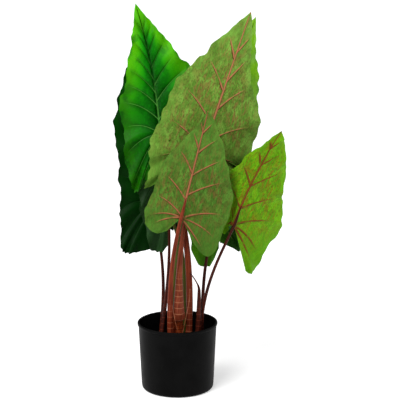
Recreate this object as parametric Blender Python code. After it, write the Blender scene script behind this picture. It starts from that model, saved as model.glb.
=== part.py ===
"""A giant taro in a plain round nursery pot.

Nine big leaves on long stalks rise from a short trunk in the soil. Each leaf blade is a thin closed
shell, worked out on a grid: one direction runs along the margin, from the lobe beside the stalk
round to the tip, and the other runs from the midrib out to the margin. Right and left are those
of someone who stands in front of the plant and looks along +Y.

Metres, +Z up. The origin is the middle of the pot's underside.
"""

import math
from collections import namedtuple

import bmesh
import bpy
import numpy as np
from mathutils import Vector

# Pot
POT_HEIGHT = 0.154
POT_BASE_RADIUS = 0.081
POT_TOP_RADIUS = 0.0882
POT_WALL = 0.0025
POT_FLOOR = 0.004
POT_CORNER = 0.008
POT_BEAD = 0.0016
RIM_RADIUS = 0.0900
RIM_HEIGHT = 0.006
POT_SIDES = 40

# Soil
SOIL_TOP = 0.100
SOIL_WAVE = 0.002
SOIL_RINGS = (1.0, 0.75, 0.5, 0.25)
CLEARANCE = 0.0003
HOLE_GAP = 0.0004
HOLE_REACH = 0.02

# Trunk, and the sheath with its tendril at the right
SOIL_ROOT = 0.066
TRUNK_PATH = ((0.001, -0.005, SOIL_ROOT), (0.001, -0.005, SOIL_TOP), (0.001, -0.005, 0.130), (0.001, -0.005, 0.160))
TRUNK_RADII = (0.0140, 0.0135, 0.0125, 0.01175)
TRUNK_SIDES = 16
SHEATH_PATH = (
    (0.045, -0.008, 0.066), (0.0470, -0.008, 0.120), (0.0480, -0.008, 0.180), (0.0487, -0.008, 0.222),
    (0.0480, -0.007, 0.234), (0.0445, -0.004, 0.243), (0.0390, -0.001, 0.252), (0.0330, 0.003, 0.260),
    (0.0270, 0.007, 0.265),
)
SHEATH_RADII = (0.0076, 0.0074, 0.0054, 0.0038, 0.0027, 0.0017, 0.0014, 0.0012, 0.0008)
SHEATH_SIDES = 8

# Leaf blades
BLADE_THICKNESS = 0.0010
MIDRIB_DEPTH = 0.0016
ROWS = 22
ROWS_A_WAVE = 3
COLUMNS = (0.0, 0.07, 0.30, 0.56, 0.80, 1.0)

# Stalks
STALK_SIDES = 10
STALK_RINGS = 12
STALK_SEAT = 0.0042
SEAT_GAP = 0.0004

# One half of a leaf's outline, from the stalk's side of the lobe to the tip. Across is in half widths.
# Along is in leaf lengths above the stalk's end and in lobe lengths below it.
OUTLINE = (
    (0.34, -0.86),
    (0.66, -1.00),
    (0.93, -0.62),
    (1.00, -0.05),
    (0.97, 0.22),
    (0.80, 0.45),
    (0.55, 0.67),
    (0.26, 0.87),
    (0.00, 1.00),
)
BASAL_ROWS = 0.42
VEIN_BOW = 0.16
TUCK_START, TUCK_END = 0.68, 0.46

Side = namedtuple("Side", "width lobe flare notch slim lift curl tuck hook reach", defaults=(0.0, 0.0, 0.0, 6, 10, 0, 0.0, ()))
Margin = namedtuple("Margin", "waves ruffle scallop phase")
Stalk = namedtuple("Stalk", "foot radii taper lean rise run_in")
Leaf = namedtuple("Leaf", "name stalk_end tip faces left right arch bend margin stalk")

# Side, one half of a blade: its half width and the length of its lobe, in leaf lengths; flare: how
# far the lobe's end is spread out, in half widths; notch: how much is cut from the lobe's inner
# corner, in lobe lengths; slim: how much is cut from the half below the tip, in half widths; lift
# and curl: the angles by which it leaves the blade's plane at the midrib and on its way out;
# tuck: the angle by which its lobe is folded back further; hook: how far the lobe's inner corner
# is moved on its own, in half widths; reach: how far out its margin lies, as
# shares of the plain outline at equal steps of the row, where that isn't left to the scallops.
# Margin: how many waves a half has, their size out of the blade's plane in metres and in the
# plane in leaf lengths, and where they start.
# Stalk: its foot; its radius at the foot and at the top, and how quickly it slims (taper); how
# far it leans to the right and back at the foot; the shares of its length over which it keeps
# its direction at the foot (rise) and at the top (run_in).
# Leaf: where the stalk ends, where the tip is and where the upper face looks; arch: the angle that
# the midrib bends back; bend: how far it bows sideways, in leaf lengths.
LEAVES = (
    Leaf(
        "front", stalk_end=(0.010, -0.058, 0.406), tip=(0.068, -0.100, 0.647), faces=(0.05, 1.0),
        left=Side(width=0.335, lobe=0.20, flare=-0.05, notch=0.08, slim=0.06,
            reach=(0.99, 1.05, 1.01, 0.97, 1.03, 1.03, 0.99, 0.96, 1, 0.98, 0.94, 0.9, 0.91, 0.92,
                   0.97, 1.01, 0.99, 0.96, 0.9, 0.87, 0.81, 0.77, 0.72, 0.81, 0.91)),
        right=Side(width=0.43, lobe=0.31, flare=0.05, notch=0.16, curl=14,
            reach=(0.96, 0.97, 0.97, 0.99, 1, 0.97, 0.95, 0.92, 0.92, 0.9, 0.95, 0.95, 0.98, 0.98,
                   0.96, 0.95, 0.96, 0.92, 0.95, 1, 0.95, 0.97, 0.99, 0.99, 1)),
        arch=8, bend=0.0,
        margin=Margin(waves=5, ruffle=0.005, scallop=0.007, phase=0.1),
        stalk=Stalk(
            foot=(-0.0138, -0.022, SOIL_ROOT), radii=(0.0078, 0.0038), taper=1.2,
            lean=(-0.004, 0.0), rise=0.45, run_in=0.36,
        ),
    ),
    Leaf(
        "right", stalk_end=(0.124, -0.030, 0.384), tip=(0.226, -0.052, 0.596), faces=(-0.45, 0.88),
        left=Side(width=0.35, lobe=0.16, lift=4, curl=4, tuck=100,
            reach=(1, 1, 1, 1, 1, 1, 1, 1, 1, 1, 1, 1, 1, 1, 1, 0.97, 0.94, 0.91, 0.9, 0.87, 0.9,
                   0.91, 0.74, 0.83, 0.91)),
        right=Side(width=0.52, lobe=0.44, flare=0.30, notch=0.05, curl=12,
            reach=(1.17, 1.09, 1.01, 0.93, 0.97, 1.08, 1.09, 1.02, 1.06, 1.18, 1.17, 1.07, 1.06,
                   1.04, 0.97, 0.94, 0.98, 1.05, 1.01, 0.97, 1.01, 1.04, 1.03, 1.02, 1.01)),
        arch=8, bend=-0.02,
        margin=Margin(waves=6, ruffle=0.006, scallop=0.016, phase=0.5),
        stalk=Stalk(
            foot=(0.0500, 0.007, SOIL_ROOT), radii=(0.0042, 0.003), taper=1.2,
            lean=(0.0, 0.0), rise=0.40, run_in=0.40,
        ),
    ),
    Leaf(
        "centre", stalk_end=(0.051, -0.022, 0.527), tip=(0.158, -0.058, 0.851), faces=(-0.15, 0.98),
        left=Side(width=0.34, lobe=0.29, flare=0.16, notch=0.33, slim=0.03,
            reach=(1, 1, 1, 1, 0.97, 0.94, 0.9, 0.92, 0.97, 0.97, 0.99, 0.96, 0.98, 0.98, 1.05, 1.1,
                   1.03, 1.04, 1, 1.04, 0.93, 0.94, 0.99, 0.89, 0.93)),
        right=Side(width=0.325, lobe=0.02, slim=0.3,
            reach=(1, 1, 1, 1, 1, 1, 1, 1, 0.95, 0.9, 0.9, 0.98, 1.02, 1.05, 1.04, 1.01, 0.96, 0.94,
                   0.95, 0.96, 0.89, 0.85, 0.9, 0.93, 0.97)),
        arch=6, bend=0.0,
        margin=Margin(waves=7, ruffle=0.007, scallop=0.015, phase=0.3),
        stalk=Stalk(
            foot=(0.0030, -0.016, 0.1635), radii=(0.0150, 0.0042), taper=4.0,
            lean=(0.0, -0.02), rise=0.40, run_in=0.38,
        ),
    ),
    Leaf(
        "behind_centre", stalk_end=(0.066, 0.017, 0.542), tip=(0.1735, 0.062, 0.831), faces=(0.15, -0.98),
        left=Side(width=0.28, lobe=0.1),
        right=Side(width=0.28, lobe=0.15, lift=-4, curl=-6,
            reach=(1, 1, 1, 1, 1, 1, 1, 1, 1, 1, 1, 1, 1, 1, 1.01, 1.01, 1.02, 0.97, 0.96, 0.91,
                   0.83, 0.78, 0.87, 0.86, 0.91)),
        arch=6, bend=0.0,
        margin=Margin(waves=7, ruffle=0.007, scallop=0.022, phase=0.7),
        stalk=Stalk(
            foot=(-0.012, 0.018, SOIL_ROOT), radii=(0.0065, 0.0034), taper=1.4,
            lean=(0.0, 0.0), rise=0.45, run_in=0.38,
        ),
    ),
    Leaf(
        "tall", stalk_end=(-0.038, 0.046, 0.573), tip=(-0.092, 0.088, 0.859), faces=(-0.05, -0.99),
        left=Side(width=0.265, lobe=0.42, flare=0.35, slim=0.28, lift=2, curl=6,
            reach=(0.89, 0.84, 0.91, 0.93, 1.03, 1.12, 1.17, 1.18, 1.16, 1.04, 1.03, 1.07, 1.12,
                   1.13, 1.02, 1.03, 1.11, 1.14, 1.06, 1.13, 1, 0.9, 0.96, 0.97, 0.99)),
        right=Side(width=0.34, lobe=0.3, slim=0.1, lift=2, curl=6,
            reach=(1, 1, 1, 1, 1, 1, 1, 1, 1, 1, 1, 1, 1, 1.04, 1.07, 1.11, 1.01, 1.01, 1.01, 0.96,
                   0.91, 0.87, 0.82, 0.82, 0.88)),
        arch=6, bend=0.03,
        margin=Margin(waves=8, ruffle=0.006, scallop=0.013, phase=0.2),
        stalk=Stalk(
            foot=(0.0222, -0.014, SOIL_ROOT), radii=(0.0082, 0.0042), taper=1.0,
            lean=(0.022, 0.05), rise=0.62, run_in=0.26,
        ),
    ),
    Leaf(
        "far_left", stalk_end=(-0.055, 0.105, 0.402), tip=(-0.102, 0.152, 0.7315), faces=(0.1, -0.99),
        left=Side(width=0.235, lobe=0.30, flare=0.3, hook=-0.42, slim=-0.3,
            reach=(1.17, 1.11, 1.03, 1.01, 1.07, 1.17, 1.24, 1.13, 1.07, 1.04, 0.96, 0.91, 0.97,
                   0.91, 0.94, 0.99, 1, 1.04, 0.94, 1.05, 1, 1.1, 1.19, 1.13, 1.06)),
        right=Side(width=0.2, lobe=0.2),
        arch=6, bend=0.0,
        margin=Margin(waves=9, ruffle=0.005, scallop=0.010, phase=0.2),
        stalk=Stalk(
            foot=(-0.0445, 0.030, SOIL_ROOT), radii=(0.0052, 0.0029), taper=2.0,
            lean=(0.024, 0.05), rise=0.50, run_in=0.30,
        ),
    ),
    Leaf(
        "low_back", stalk_end=(-0.024, 0.088, 0.4095), tip=(-0.056, 0.124, 0.6265), faces=(0.0, -1.0),
        left=Side(width=0.28, lobe=0.51, hook=-0.15),
        right=Side(width=0.20, lobe=0.42, hook=0.20),
        arch=6, bend=0.0,
        margin=Margin(waves=6, ruffle=0.006, scallop=0.012, phase=0.8),
        stalk=Stalk(
            foot=(0.0165, 0.025, SOIL_ROOT), radii=(0.0065, 0.0032), taper=1.4,
            lean=(0.01, 0.07), rise=0.80, run_in=0.22,
        ),
    ),
    Leaf(
        "middle_left", stalk_end=(-0.026, 0.082, 0.500), tip=(-0.038, 0.118, 0.715), faces=(0.0, -1.0),
        left=Side(width=0.34, lobe=0.42, flare=0.15),
        right=Side(width=0.27, lobe=0.24),
        arch=6, bend=0.0,
        margin=Margin(waves=6, ruffle=0.005, scallop=0.010, phase=0.4),
        stalk=Stalk(
            foot=(-0.0455, -0.002, SOIL_ROOT), radii=(0.0052, 0.0027), taper=2.0,
            lean=(0.034, 0.05), rise=0.45, run_in=0.40,
        ),
    ),
    Leaf(
        "back_right", stalk_end=(0.094, 0.060, 0.370), tip=(0.1365, 0.085, 0.610), faces=(-0.1, 1.0),
        left=Side(width=0.245, lobe=0.435, flare=-0.52, hook=0.02, notch=0.31),
        right=Side(width=0.27, lobe=0.232, flare=0.23, hook=-0.42, notch=0.05),
        arch=6, bend=0.0,
        margin=Margin(waves=6, ruffle=0.006, scallop=0.012, phase=0.9),
        stalk=Stalk(
            foot=(0.0555, 0.025, SOIL_ROOT), radii=(0.0042, 0.0026), taper=1.2,
            lean=(-0.004, 0.0), rise=0.95, run_in=0.15,
        ),
    ),
)


def clear_scene():
    for item in list(bpy.data.objects):
        bpy.data.objects.remove(item)


def material(name, colour, roughness):
    made = bpy.data.materials.new(name)
    made.use_nodes = True
    shader = made.node_tree.nodes["Principled BSDF"]
    shader.inputs["Base Color"].default_value = (*colour, 1.0)
    shader.inputs["Roughness"].default_value = roughness
    shader.inputs["Metallic"].default_value = 0.0
    return made


def add_mesh(name, points, faces, finish, smooth=True):
    """An object of these points and faces, with its faces turned outwards."""
    mesh = bpy.data.meshes.new(name)
    mesh.from_pydata([tuple(point) for point in points], [], faces)
    form = bmesh.new()
    form.from_mesh(mesh)
    bmesh.ops.recalc_face_normals(form, faces=form.faces)
    form.to_mesh(mesh)
    form.free()
    if smooth:
        mesh.shade_smooth()
        mesh.set_sharp_from_angle(angle=math.radians(40))
    made = bpy.data.objects.new(name, mesh)
    bpy.context.scene.collection.objects.link(made)
    mesh.materials.append(finish)
    return made


def smoothstep(value):
    value = np.clip(value, 0.0, 1.0)
    return value * value * (3 - 2 * value)


def through(points, place):
    """A Catmull-Rom curve through the points, at places from 0 to 1 along their list."""
    points = np.asarray(points, float)
    ends = np.vstack([2 * points[0] - points[1], points, 2 * points[-1] - points[-2]])
    place = np.asarray(place, float) * (len(points) - 1)
    span = np.clip(place.astype(int), 0, len(points) - 2)
    t = (place - span)[..., None]
    a, b, c, d = (ends[span + k] for k in range(4))
    return b + 0.5 * t * (c - a + t * (2 * a - 5 * b + 4 * c - d + t * (3 * (b - c) + d - a)))


def frame_of(leaf):
    """The leaf's own directions: along the midrib, to the right as seen from the front, and the
    upper face's."""
    along = Vector(leaf.tip) - Vector(leaf.stalk_end)
    length = along.length
    along.normalize()
    upper = Vector((*leaf.faces, 0.0))
    upper = (upper - along * upper.dot(along)).normalized()
    right = along.cross(upper)
    if right.x < 0:
        right.negate()
    return length, np.array(along), np.array(right), np.array(upper)


def half_blade(leaf, sign, row, column, offset):
    """Points of one half of the blade. row runs along the margin and column out to it, both 0 to 1.

    A vein leaves the midrib and bends a little towards the tip on its way to the outline. The flat
    leaf made so gets waves that grow towards the margin. Then each half is lifted and curled about
    the midrib, and the midrib is arched back. offset moves the points along the blade's own normal.
    """
    length, along, right, upper = frame_of(leaf)
    side = leaf.right if sign > 0 else leaf.left
    margin = leaf.margin

    outline = np.array(OUTLINE)
    outline[:2, 0] += side.flare
    outline[0] += (side.hook, side.notch)
    edge = through(outline, row)
    edge_y = np.where(edge[..., 1] < 0, edge[..., 1] * side.lobe, edge[..., 1])
    edge_x = edge[..., 0] * side.width * (1 - side.slim * np.exp(-(((edge_y - 0.70) / 0.22) ** 2)))
    start = 0.985 * np.clip((row - BASAL_ROWS) / (1 - BASAL_ROWS), 0, 1) ** 1.3

    turn = 2 * np.pi * (margin.waves * row + margin.phase + 0.37 * (sign > 0))
    calm = smoothstep((1 - row) / 0.10) * smoothstep((row + 0.02) / 0.14)
    scallop = 0 if side.reach else margin.scallop * np.cos(turn) * calm / side.width
    stretch = 1 + scallop * column ** 3
    if side.reach:
        stretch = stretch + (through(np.array(side.reach)[:, None], row)[..., 0] - 1) * column ** 2
    bow = VEIN_BOW * column * (1 - column) * smoothstep(row / 0.25) * (1 - smoothstep((row - 0.45) / 0.55))
    x = edge_x * column * stretch
    y = start + (edge_y - start) * column * stretch + bow
    x, y = np.where(row >= 1, 0.0, x), np.where(row >= 1, 1.0, y)

    reach = x / side.width
    middle = smoothstep(reach / 0.18)
    tuck = side.tuck * smoothstep((TUCK_START - row) / (TUCK_START - TUCK_END))
    lift = np.radians(side.lift + tuck) * middle
    curl = np.radians(side.curl) * reach
    depth = x * length * np.sin(lift + curl / 2) + offset * np.cos(lift + curl)
    depth = depth + margin.ruffle * np.sin(turn + 0.8) * column ** 2 * calm
    across = x * length * np.cos(lift + curl / 2) - offset * np.sin(lift + curl)

    arch = np.radians(leaf.arch)
    travel = np.clip(y, -0.5, 1.0)
    chord = arch * (travel - 1) / 2
    swing = arch * (travel - 0.5)
    ahead = y * length * np.cos(chord) + depth * np.sin(swing)
    height = depth * np.cos(swing) - y * length * np.sin(chord)
    slide = leaf.bend * length * 4 * np.clip(y, 0, 1) * (1 - np.clip(y, 0, 1))
    return (
        np.array(leaf.stalk_end)
        + (sign * across + slide)[..., None] * right
        + ahead[..., None] * along
        + height[..., None] * upper
    )


def rib_depth(row, column):
    """How far the midrib stands out of the under face: most at the stalk, nearly nothing at the tip."""
    fade = 1.1 - smoothstep((row - BASAL_ROWS) / (1 - BASAL_ROWS))
    return np.where(column < 1e-6, MIDRIB_DEPTH * np.clip(fade, 0, 1), 0.0)


def blade(leaf, finish):
    """A closed shell: both faces on one grid, cut into triangles alike, with a strip round the edge."""
    count = max(ROWS, ROWS_A_WAVE * leaf.margin.waves)
    last = len(COLUMNS) - 1
    row, column = np.meshgrid(np.linspace(0, 1, count + 1), COLUMNS, indexing="ij")
    grids = {}
    for face in (-1, 1):
        thick = BLADE_THICKNESS / 2 + (rib_depth(row, column) if face < 0 else 0)
        for sign in (-1, 1):
            grids[face, sign] = half_blade(leaf, sign, row, column, face * thick)
        middle = (grids[face, -1][:, 0] + grids[face, 1][:, 0]) / 2
        grids[face, -1][:, 0] = grids[face, 1][:, 0] = middle

    points = []
    numbers = {}

    def number(face, sign, i, k):
        """The point's number. Points that coincide share one: the stalk's end, the midrib, the tip."""
        if i == count:
            key = (face, "tip")
        elif k == 0:
            key = (face, "midrib", i if row[i, 0] > BASAL_ROWS else 0)
        else:
            key = (face, sign, i, k)
        if key not in numbers:
            numbers[key] = len(points)
            points.append(grids[face, sign][i, k])
        return numbers[key]

    faces = []

    def add_square(a, b, c, d):
        """Two triangles. One that has shrunk to a line is left out."""
        faces.extend(corners for corners in ((a, b, c), (a, c, d)) if len(set(corners)) == 3)

    for sign in (-1, 1):
        for i in range(count):
            for k in range(last):
                for face in (-1, 1):
                    corners = (i, k), (i, k + 1), (i + 1, k + 1), (i + 1, k)
                    add_square(*(number(face, sign, *corner) for corner in corners))
        rim = [(0, k) for k in range(last)] + [(i, last) for i in range(count + 1)]
        for here, there in zip(rim, rim[1:]):
            corners = (-1, here), (-1, there), (1, there), (1, here)
            add_square(*(number(face, sign, *place) for face, place in corners))
    return add_mesh("blade_" + leaf.name, points, faces, finish)


def stalk_line(leaf, count):
    """The stalk's middle line, a cubic Bezier curve, and its radii.

    It leaves the soil nearly upright and meets the blade along the midrib, a seat's width under it.
    """
    _, along, _, upper = frame_of(leaf)
    shape = leaf.stalk
    low, top = shape.radii
    seat = BLADE_THICKNESS / 2 + MIDRIB_DEPTH + top + SEAT_GAP
    end = np.array(leaf.stalk_end) - upper * seat + along * STALK_SEAT
    foot = np.array(shape.foot)
    reach = np.linalg.norm(end - foot)
    first = foot + np.array((*shape.lean, shape.rise * reach))
    second = end - along * shape.run_in * reach
    t = np.linspace(0, 1, count)[:, None]
    line = (1 - t) ** 3 * foot + 3 * t * (1 - t) ** 2 * first + 3 * t * t * (1 - t) * second + t ** 3 * end
    radii = top + (low - top) * (1 - t[:, 0]) ** shape.taper
    return line, radii


def unit(vector):
    return vector / np.linalg.norm(vector)


def rounded_end(line, radii):
    """The same bar with two more rings at its last end, which is rounded off."""
    bend = np.radians((0, 45, 75))
    back = radii[-1] * (1 - np.sin(bend))[:, None] * unit(line[-1] - line[-2])
    return np.vstack([line[:-1], line[-1] - back]), np.concatenate([radii[:-1], radii[-1] * np.cos(bend)])


def tube(name, line, radii, sides, finish):
    """A round closed bar along the line, with a flat disc at each end."""
    count = len(line)
    tangents = np.gradient(line, axis=0)
    tangents /= np.linalg.norm(tangents, axis=1)[:, None]
    across = np.cross(tangents, (0.0, 1.0, 0.0))
    across /= np.linalg.norm(across, axis=1)[:, None]
    other = np.cross(tangents, across)
    angle = np.arange(sides) * 2 * np.pi / sides
    ring = np.cos(angle)[None, :, None] * across[:, None] + np.sin(angle)[None, :, None] * other[:, None]
    points = (line[:, None] + ring * np.asarray(radii)[:, None, None]).reshape(-1, 3)
    faces = [
        (k * sides + i, k * sides + (i + 1) % sides, (k + 1) * sides + (i + 1) % sides, (k + 1) * sides + i)
        for k in range(count - 1)
        for i in range(sides)
    ]
    faces.append(tuple(range(sides)))
    faces.append(tuple((count - 1) * sides + i for i in range(sides)))
    return add_mesh(name, points, faces, finish)


def stands_on_trunk(leaf):
    return leaf.stalk.foot[2] > SOIL_TOP


def stalk(leaf, finish):
    line, radii = rounded_end(*stalk_line(leaf, STALK_RINGS))
    if stands_on_trunk(leaf):
        line, radii = rounded_end(line[::-1], radii[::-1])
    return tube("stalk_" + leaf.name, line, radii, STALK_SIDES, finish)


def trunk(finish):
    line, radii = rounded_end(np.array(TRUNK_PATH), np.array(TRUNK_RADII))
    return tube("trunk", line, radii, TRUNK_SIDES, finish)


def sheath(finish):
    return tube("sheath_right", np.array(SHEATH_PATH), SHEATH_RADII, SHEATH_SIDES, finish)


def turned(name, profile, sides, finish):
    """A solid of revolution about Z. The profile starts and ends on the axis."""
    form = bmesh.new()
    points = [form.verts.new((r, 0.0, z)) for r, z in profile]
    edges = [form.edges.new(pair) for pair in zip(points, points[1:])]
    bmesh.ops.spin(
        form, geom=points + edges, axis=(0, 0, 1), cent=(0, 0, 0), steps=sides, angle=2 * math.pi
    )
    bmesh.ops.remove_doubles(form, verts=form.verts, dist=1e-5)
    bmesh.ops.recalc_face_normals(form, faces=form.faces)
    mesh = bpy.data.meshes.new(name)
    form.to_mesh(mesh)
    form.free()
    mesh.shade_smooth()
    mesh.set_sharp_from_angle(angle=math.radians(40))
    mesh.materials.append(finish)
    made = bpy.data.objects.new(name, mesh)
    bpy.context.scene.collection.objects.link(made)
    return made


def arc(centre, radius, start, end, steps):
    """Points of an arc, as (radius, height), between two angles in degrees."""
    angles = np.radians(np.linspace(start, end, steps + 1))
    return [(centre[0] + radius * math.cos(a), centre[1] + radius * math.sin(a)) for a in angles]


def pot_wall_radius(z):
    return POT_BASE_RADIUS + (POT_TOP_RADIUS - POT_BASE_RADIUS) * z / POT_HEIGHT


def pot(finish):
    rim_base = POT_HEIGHT - RIM_HEIGHT
    bead = POT_BEAD
    profile = [(0.0, 0.0)]
    profile += arc((pot_wall_radius(0) - POT_CORNER, POT_CORNER), POT_CORNER, -90, -8, 4)
    profile += [(pot_wall_radius(rim_base), rim_base)]
    profile += arc((RIM_RADIUS - bead, rim_base + bead), bead, -90, 0, 1)
    profile += arc((RIM_RADIUS - bead, POT_HEIGHT - bead), bead, 0, 90, 2)
    inner = pot_wall_radius(POT_HEIGHT) - POT_WALL
    profile += [(inner + bead, POT_HEIGHT), (inner, POT_HEIGHT - bead)]
    profile += [(pot_wall_radius(POT_CORNER) - POT_WALL, POT_FLOOR + POT_CORNER / 2)]
    profile += [(pot_wall_radius(0) - POT_CORNER, POT_FLOOR), (0.0, POT_FLOOR)]
    return turned("pot", profile, POT_SIDES, finish)


def soil_height(x, y):
    """The soil's gentle unevenness, above and below its mean height."""
    return SOIL_WAVE * (0.6 * np.sin(61 * x + 1.3) * np.cos(47 * y) + 0.4 * np.sin(103 * y - 70 * x))


def soil_block(finish):
    """A block that fills the pot to below its rim."""
    low = POT_FLOOR + POT_CORNER / 2 + CLEARANCE
    angle = np.arange(POT_SIDES) * 2 * np.pi / POT_SIDES
    rings = [(low, 1.0)] + [(SOIL_TOP, share) for share in SOIL_RINGS]
    points = []
    for z, share in rings:
        radius = (pot_wall_radius(z) - POT_WALL - 2 * CLEARANCE) * share
        x, y = radius * np.cos(angle), radius * np.sin(angle)
        height = z + (soil_height(x, y) if z == SOIL_TOP else 0 * x)
        points += list(zip(x, y, height))
    bottom, top = len(points), len(points) + 1
    points += [(0, 0, low), (0, 0, SOIL_TOP + float(soil_height(0.0, 0.0)))]

    faces = []
    last = (len(rings) - 1) * POT_SIDES
    for i in range(POT_SIDES):
        j = (i + 1) % POT_SIDES
        faces += [(here + i, here + j, here + POT_SIDES + j, here + POT_SIDES + i)
                  for here in range(0, last, POT_SIDES)]
        faces += [(bottom, j, i), (top, last + i, last + j)]
    return add_mesh("soil", points, faces, finish)


def soil(finish, bars):
    """The soil's block with a plain hole for each bar that stands in it."""
    made = soil_block(finish)
    cutters = bpy.data.collections.new("holes")
    bpy.context.scene.collection.children.link(cutters)
    for line, radii, sides in bars:
        count = int((line[:, 2] < SOIL_TOP + HOLE_REACH).sum()) + 1
        sunk = line[:count].copy()
        sunk[0] -= HOLE_GAP * unit(sunk[1] - sunk[0])
        cutter = tube("hole", sunk, np.array(radii[:count]) + HOLE_GAP, sides, finish)
        bpy.context.scene.collection.objects.unlink(cutter)
        cutters.objects.link(cutter)

    cut = made.modifiers.new("holes", "BOOLEAN")
    cut.operation = "DIFFERENCE"
    cut.operand_type = "COLLECTION"
    cut.collection = cutters
    bpy.context.view_layer.update()
    whole = bpy.data.meshes.new_from_object(made.evaluated_get(bpy.context.evaluated_depsgraph_get()))
    made.modifiers.clear()
    made.data = whole
    for cutter in list(cutters.objects):
        bpy.data.objects.remove(cutter)
    bpy.data.collections.remove(cutters)
    return made


def main():
    clear_scene()
    green = material("leaf green", (0.05, 0.20, 0.03), 0.4)
    olive = material("leaf underside green", (0.12, 0.18, 0.04), 0.6)
    brown = material("stalk brown", (0.25, 0.07, 0.04), 0.5)
    maroon = material("thin stalk maroon", (0.06, 0.015, 0.018), 0.5)
    black = material("pot black plastic", (0.008, 0.008, 0.009), 0.35)
    earth = material("soil", (0.012, 0.009, 0.007), 0.95)

    for leaf in LEAVES:
        blade(leaf, olive if leaf.faces[1] > 0 else green)
        stalk(leaf, maroon if leaf.stalk.radii[0] < 0.006 else brown)
    trunk(brown)
    sheath(maroon)
    pot(black)
    in_soil = [leaf for leaf in LEAVES if not stands_on_trunk(leaf)]
    bars = [(*stalk_line(leaf, STALK_RINGS), STALK_SIDES) for leaf in in_soil]
    bars.append((np.array(TRUNK_PATH), TRUNK_RADII, TRUNK_SIDES))
    bars.append((np.array(SHEATH_PATH), SHEATH_RADII, SHEATH_SIDES))
    soil(earth, bars)


main()
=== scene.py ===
import math
from collections import namedtuple

import bpy
import numpy as np
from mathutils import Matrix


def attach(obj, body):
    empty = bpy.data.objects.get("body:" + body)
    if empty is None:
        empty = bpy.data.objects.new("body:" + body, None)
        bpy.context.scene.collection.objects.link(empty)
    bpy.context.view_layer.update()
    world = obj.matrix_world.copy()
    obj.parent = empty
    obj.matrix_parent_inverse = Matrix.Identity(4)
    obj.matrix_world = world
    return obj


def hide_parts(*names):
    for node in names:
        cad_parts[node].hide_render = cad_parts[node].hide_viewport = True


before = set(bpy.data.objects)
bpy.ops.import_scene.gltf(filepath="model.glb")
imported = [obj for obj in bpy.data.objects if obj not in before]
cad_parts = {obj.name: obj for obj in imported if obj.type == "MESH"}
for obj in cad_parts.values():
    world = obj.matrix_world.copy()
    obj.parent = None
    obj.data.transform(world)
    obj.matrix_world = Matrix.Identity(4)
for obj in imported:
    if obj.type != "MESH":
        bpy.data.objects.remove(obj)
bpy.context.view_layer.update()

# Camera: placed so that the pot and the leaf tips fall where the photograph shows them.
CAMERA_PLACE = (0.0507, -3.0, 1.06)
CAMERA_TILT = 11.8
CAMERA_LENS = 124.74

# Leaf blades, on the same values as the solids.
MID_THICKNESS = 0.0010
EDGE_THICKNESS = 0.0004
MIDRIB_SEAT = 0.0016
SEAT_GAP = 0.0004
STALK_SEAT = 0.0042
OUTLINE = (
    (0.34, -0.86),
    (0.66, -1.00),
    (0.93, -0.62),
    (1.00, -0.05),
    (0.97, 0.22),
    (0.80, 0.45),
    (0.55, 0.67),
    (0.26, 0.87),
    (0.00, 1.00),
)
BASAL_ROWS = 0.42
LAST_START = 0.985
START_POWER = 1.3
VEIN_BOW = 0.16
TUCK_START, TUCK_END = 0.68, 0.46

# How finely a blade is drawn.
EVEN_ROWS = 90
COLUMNS = 46
COLUMN_POWER = 1.5
VEIN_ROWS = np.array((-2.6, -1.6, -1.0, -0.5, 0.0, 0.5, 1.0, 1.6, 2.6)) * 0.0026
LEAST_ROW = 0.0007

# Ribs on the under face: heights and half widths at the midrib's foot and tip, and at a side vein's start.
MIDRIB_HEIGHTS = (0.0030, 0.0009)
MIDRIB_WIDTHS = (0.0046, 0.0015)
VEIN_HEIGHT = 0.0020
VEIN_WIDTH = 0.0026
VEIN_END = 0.86

# A blade's gentle swelling: its height, its size from crest to crest, and how deep a vein's furrow is.
SWELL_HEIGHT = 0.0008
SWELL_SIZE = 0.05
FURROW_SHARE = 0.35
FURROW_LIMIT = 0.0012

# The soil. All stalks but the centre one, which is on the trunk, have their feet at SOIL_ROOT, and the
# soil's edge is SOIL_GAP clear of the pot.
# LUMPS: each one's height and its two wave numbers.
SOIL_ROOT = 0.066
SOIL_TOP = 0.100
SOIL_BOTTOM = 0.0085
SOIL_GAP = 0.0006
SOIL_SINK = 0.0012
LUMPS = ((0.0011, 310, 120), (0.0009, 520, 330), (0.0007, 860, -410), (0.0005, 1400, 700))

# Stalks: how far one runs on into the midrib, how deep and thin it ends there, and how finely it is drawn.
RUN_OUT = 0.05
RUN_OUT_STEPS = 25
SUNK_DEPTH = 0.0016
SUNK_RADIUS = 0.0010
STALK_STEPS = 130
STALK_SIDES = 32
RING_SPACING = 0.0135

# The trunk, the sheath with its tendril, and the pale edges of the two split sheaths.
TRUNK_PATH = (
    (0.001, -0.005, SOIL_ROOT), (0.001, -0.005, SOIL_TOP), (0.001, -0.005, 0.13), (0.001, -0.005, 0.16),
)
TRUNK_RADII = (0.014, 0.0135, 0.0125, 0.01175)
TRUNK_SIDES = 56
SCAR_SPACING = 0.0105
SHEATH_PATH = (
    (0.045, -0.008, 0.066), (0.047, -0.008, 0.12), (0.048, -0.008, 0.18), (0.0487, -0.008, 0.222),
    (0.048, -0.007, 0.234), (0.0445, -0.004, 0.243), (0.039, -0.001, 0.252), (0.033, 0.003, 0.26),
    (0.027, 0.007, 0.265),
)
SHEATH_RADII = (0.0076, 0.0074, 0.0054, 0.0038, 0.0027, 0.0017, 0.0014, 0.0012, 0.0008)
LEFT_EDGE = (
    (-0.013, -0.03, 0.2267), (-0.0109, -0.0305, 0.2014), (-0.0072, -0.0312, 0.1783),
    (-0.0028, -0.0315, 0.1551), (0.0027, -0.0285, 0.1342), (0.006, -0.025, 0.1248),
)
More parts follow.
